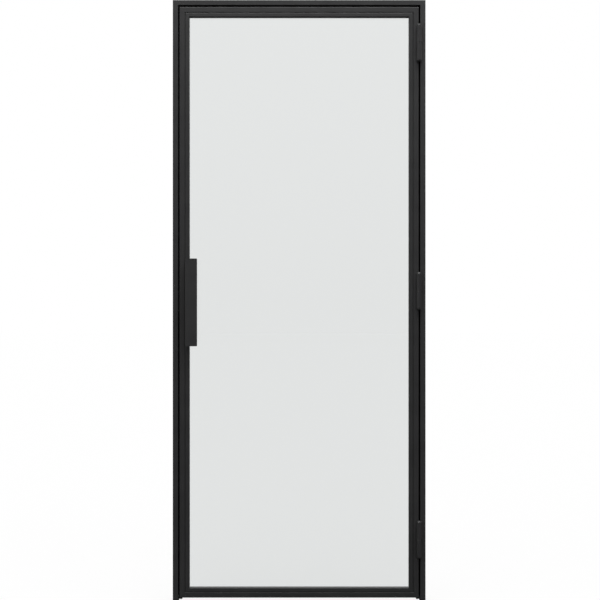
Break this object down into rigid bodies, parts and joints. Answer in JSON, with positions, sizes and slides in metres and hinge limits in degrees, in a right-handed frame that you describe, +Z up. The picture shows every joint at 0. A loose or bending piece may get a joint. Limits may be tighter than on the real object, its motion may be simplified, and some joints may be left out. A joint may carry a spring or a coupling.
{
  "type": "glazed steel door with frame",
  "caption": "Slim black steel door with a full pane of clear glass, hung on barrel hinges in its frame, with a folded plate pull and a magnetic catch.",
  "frame": {"origin": "on the floor, in the middle of the frame's width and of the overall depth", "axes": "+Z up; +X towards the hinges, as seen from the pull side; +Y from the pull side to the back"},
  "size_m": [0.873, 0.1, 2.08],
  "materials": {
    "frame_paint": "matt black powder coat",
    "leaf_paint": "matt black powder coat",
    "handle_paint": "matt black powder coat",
    "hinge_paint": "matt black powder coat",
    "clear_glass": "clear toughened glass, very light grey",
    "black_rubber": "extruded black rubber",
    "block_plastic": "black moulded plastic",
    "housing_plastic": "black moulded plastic",
    "zinc_steel": "bright zinc plated",
    "magnet_nickel": "nickel plated",
    "washer_plastic": "black acetal"
  },
  "bodies": {
    "frame": {"latch_jamb": "frame_paint", "hinge_jamb": "frame_paint", "frame_head": "frame_paint", "latch_stop": "frame_paint", "hinge_stop": "frame_paint", "head_stop": "frame_paint", "latch_seal": "black_rubber", "hinge_seal": "black_rubber", "head_seal": "black_rubber", "keeper_plate": "frame_paint", "keeper_screws": "zinc_steel", "hinge_washers": "washer_plastic", "top_hinge_jamb_knuckle": "hinge_paint", "top_hinge_pin": "hinge_paint", "top_hinge_cap_nut": "hinge_paint", "middle_hinge_jamb_knuckle": "hinge_paint", "middle_hinge_pin": "hinge_paint", "middle_hinge_cap_nut": "hinge_paint", "bottom_hinge_jamb_knuckle": "hinge_paint", "bottom_hinge_pin": "hinge_paint", "bottom_hinge_cap_nut": "hinge_paint"},
    "leaf": {"handle_stile": "leaf_paint", "hinge_stile": "leaf_paint", "top_rail": "leaf_paint", "bottom_rail": "leaf_paint", "glass_pane": "clear_glass", "setting_blocks": "block_plastic", "location_blocks": "block_plastic", "bead_studs": "zinc_steel", "pull_handle": "handle_paint", "handle_screws": "zinc_steel", "magnet_housing": "housing_plastic", "catch_magnet": "magnet_nickel", "magnet_screws": "zinc_steel", "top_hinge_leaf_knuckle": "hinge_paint", "middle_hinge_leaf_knuckle": "hinge_paint", "bottom_hinge_leaf_knuckle": "hinge_paint", "front_gasket_latch": "black_rubber", "rear_gasket_latch": "black_rubber", "glazing_bead_latch": "leaf_paint", "front_gasket_top": "black_rubber", "rear_gasket_top": "black_rubber", "glazing_bead_top": "leaf_paint", "front_gasket_hinge": "black_rubber", "rear_gasket_hinge": "black_rubber", "glazing_bead_hinge": "leaf_paint", "front_gasket_bottom": "black_rubber", "rear_gasket_bottom": "black_rubber", "glazing_bead_bottom": "leaf_paint"}
  },
  "joints": [
    {"name": "leaf_swing", "type": "hinge", "parent": "frame", "child": "leaf", "pos_m": [0.413, -0.019, 1.074], "axis": [0, 0, 1], "range_deg": [0, 170]}
  ]
}
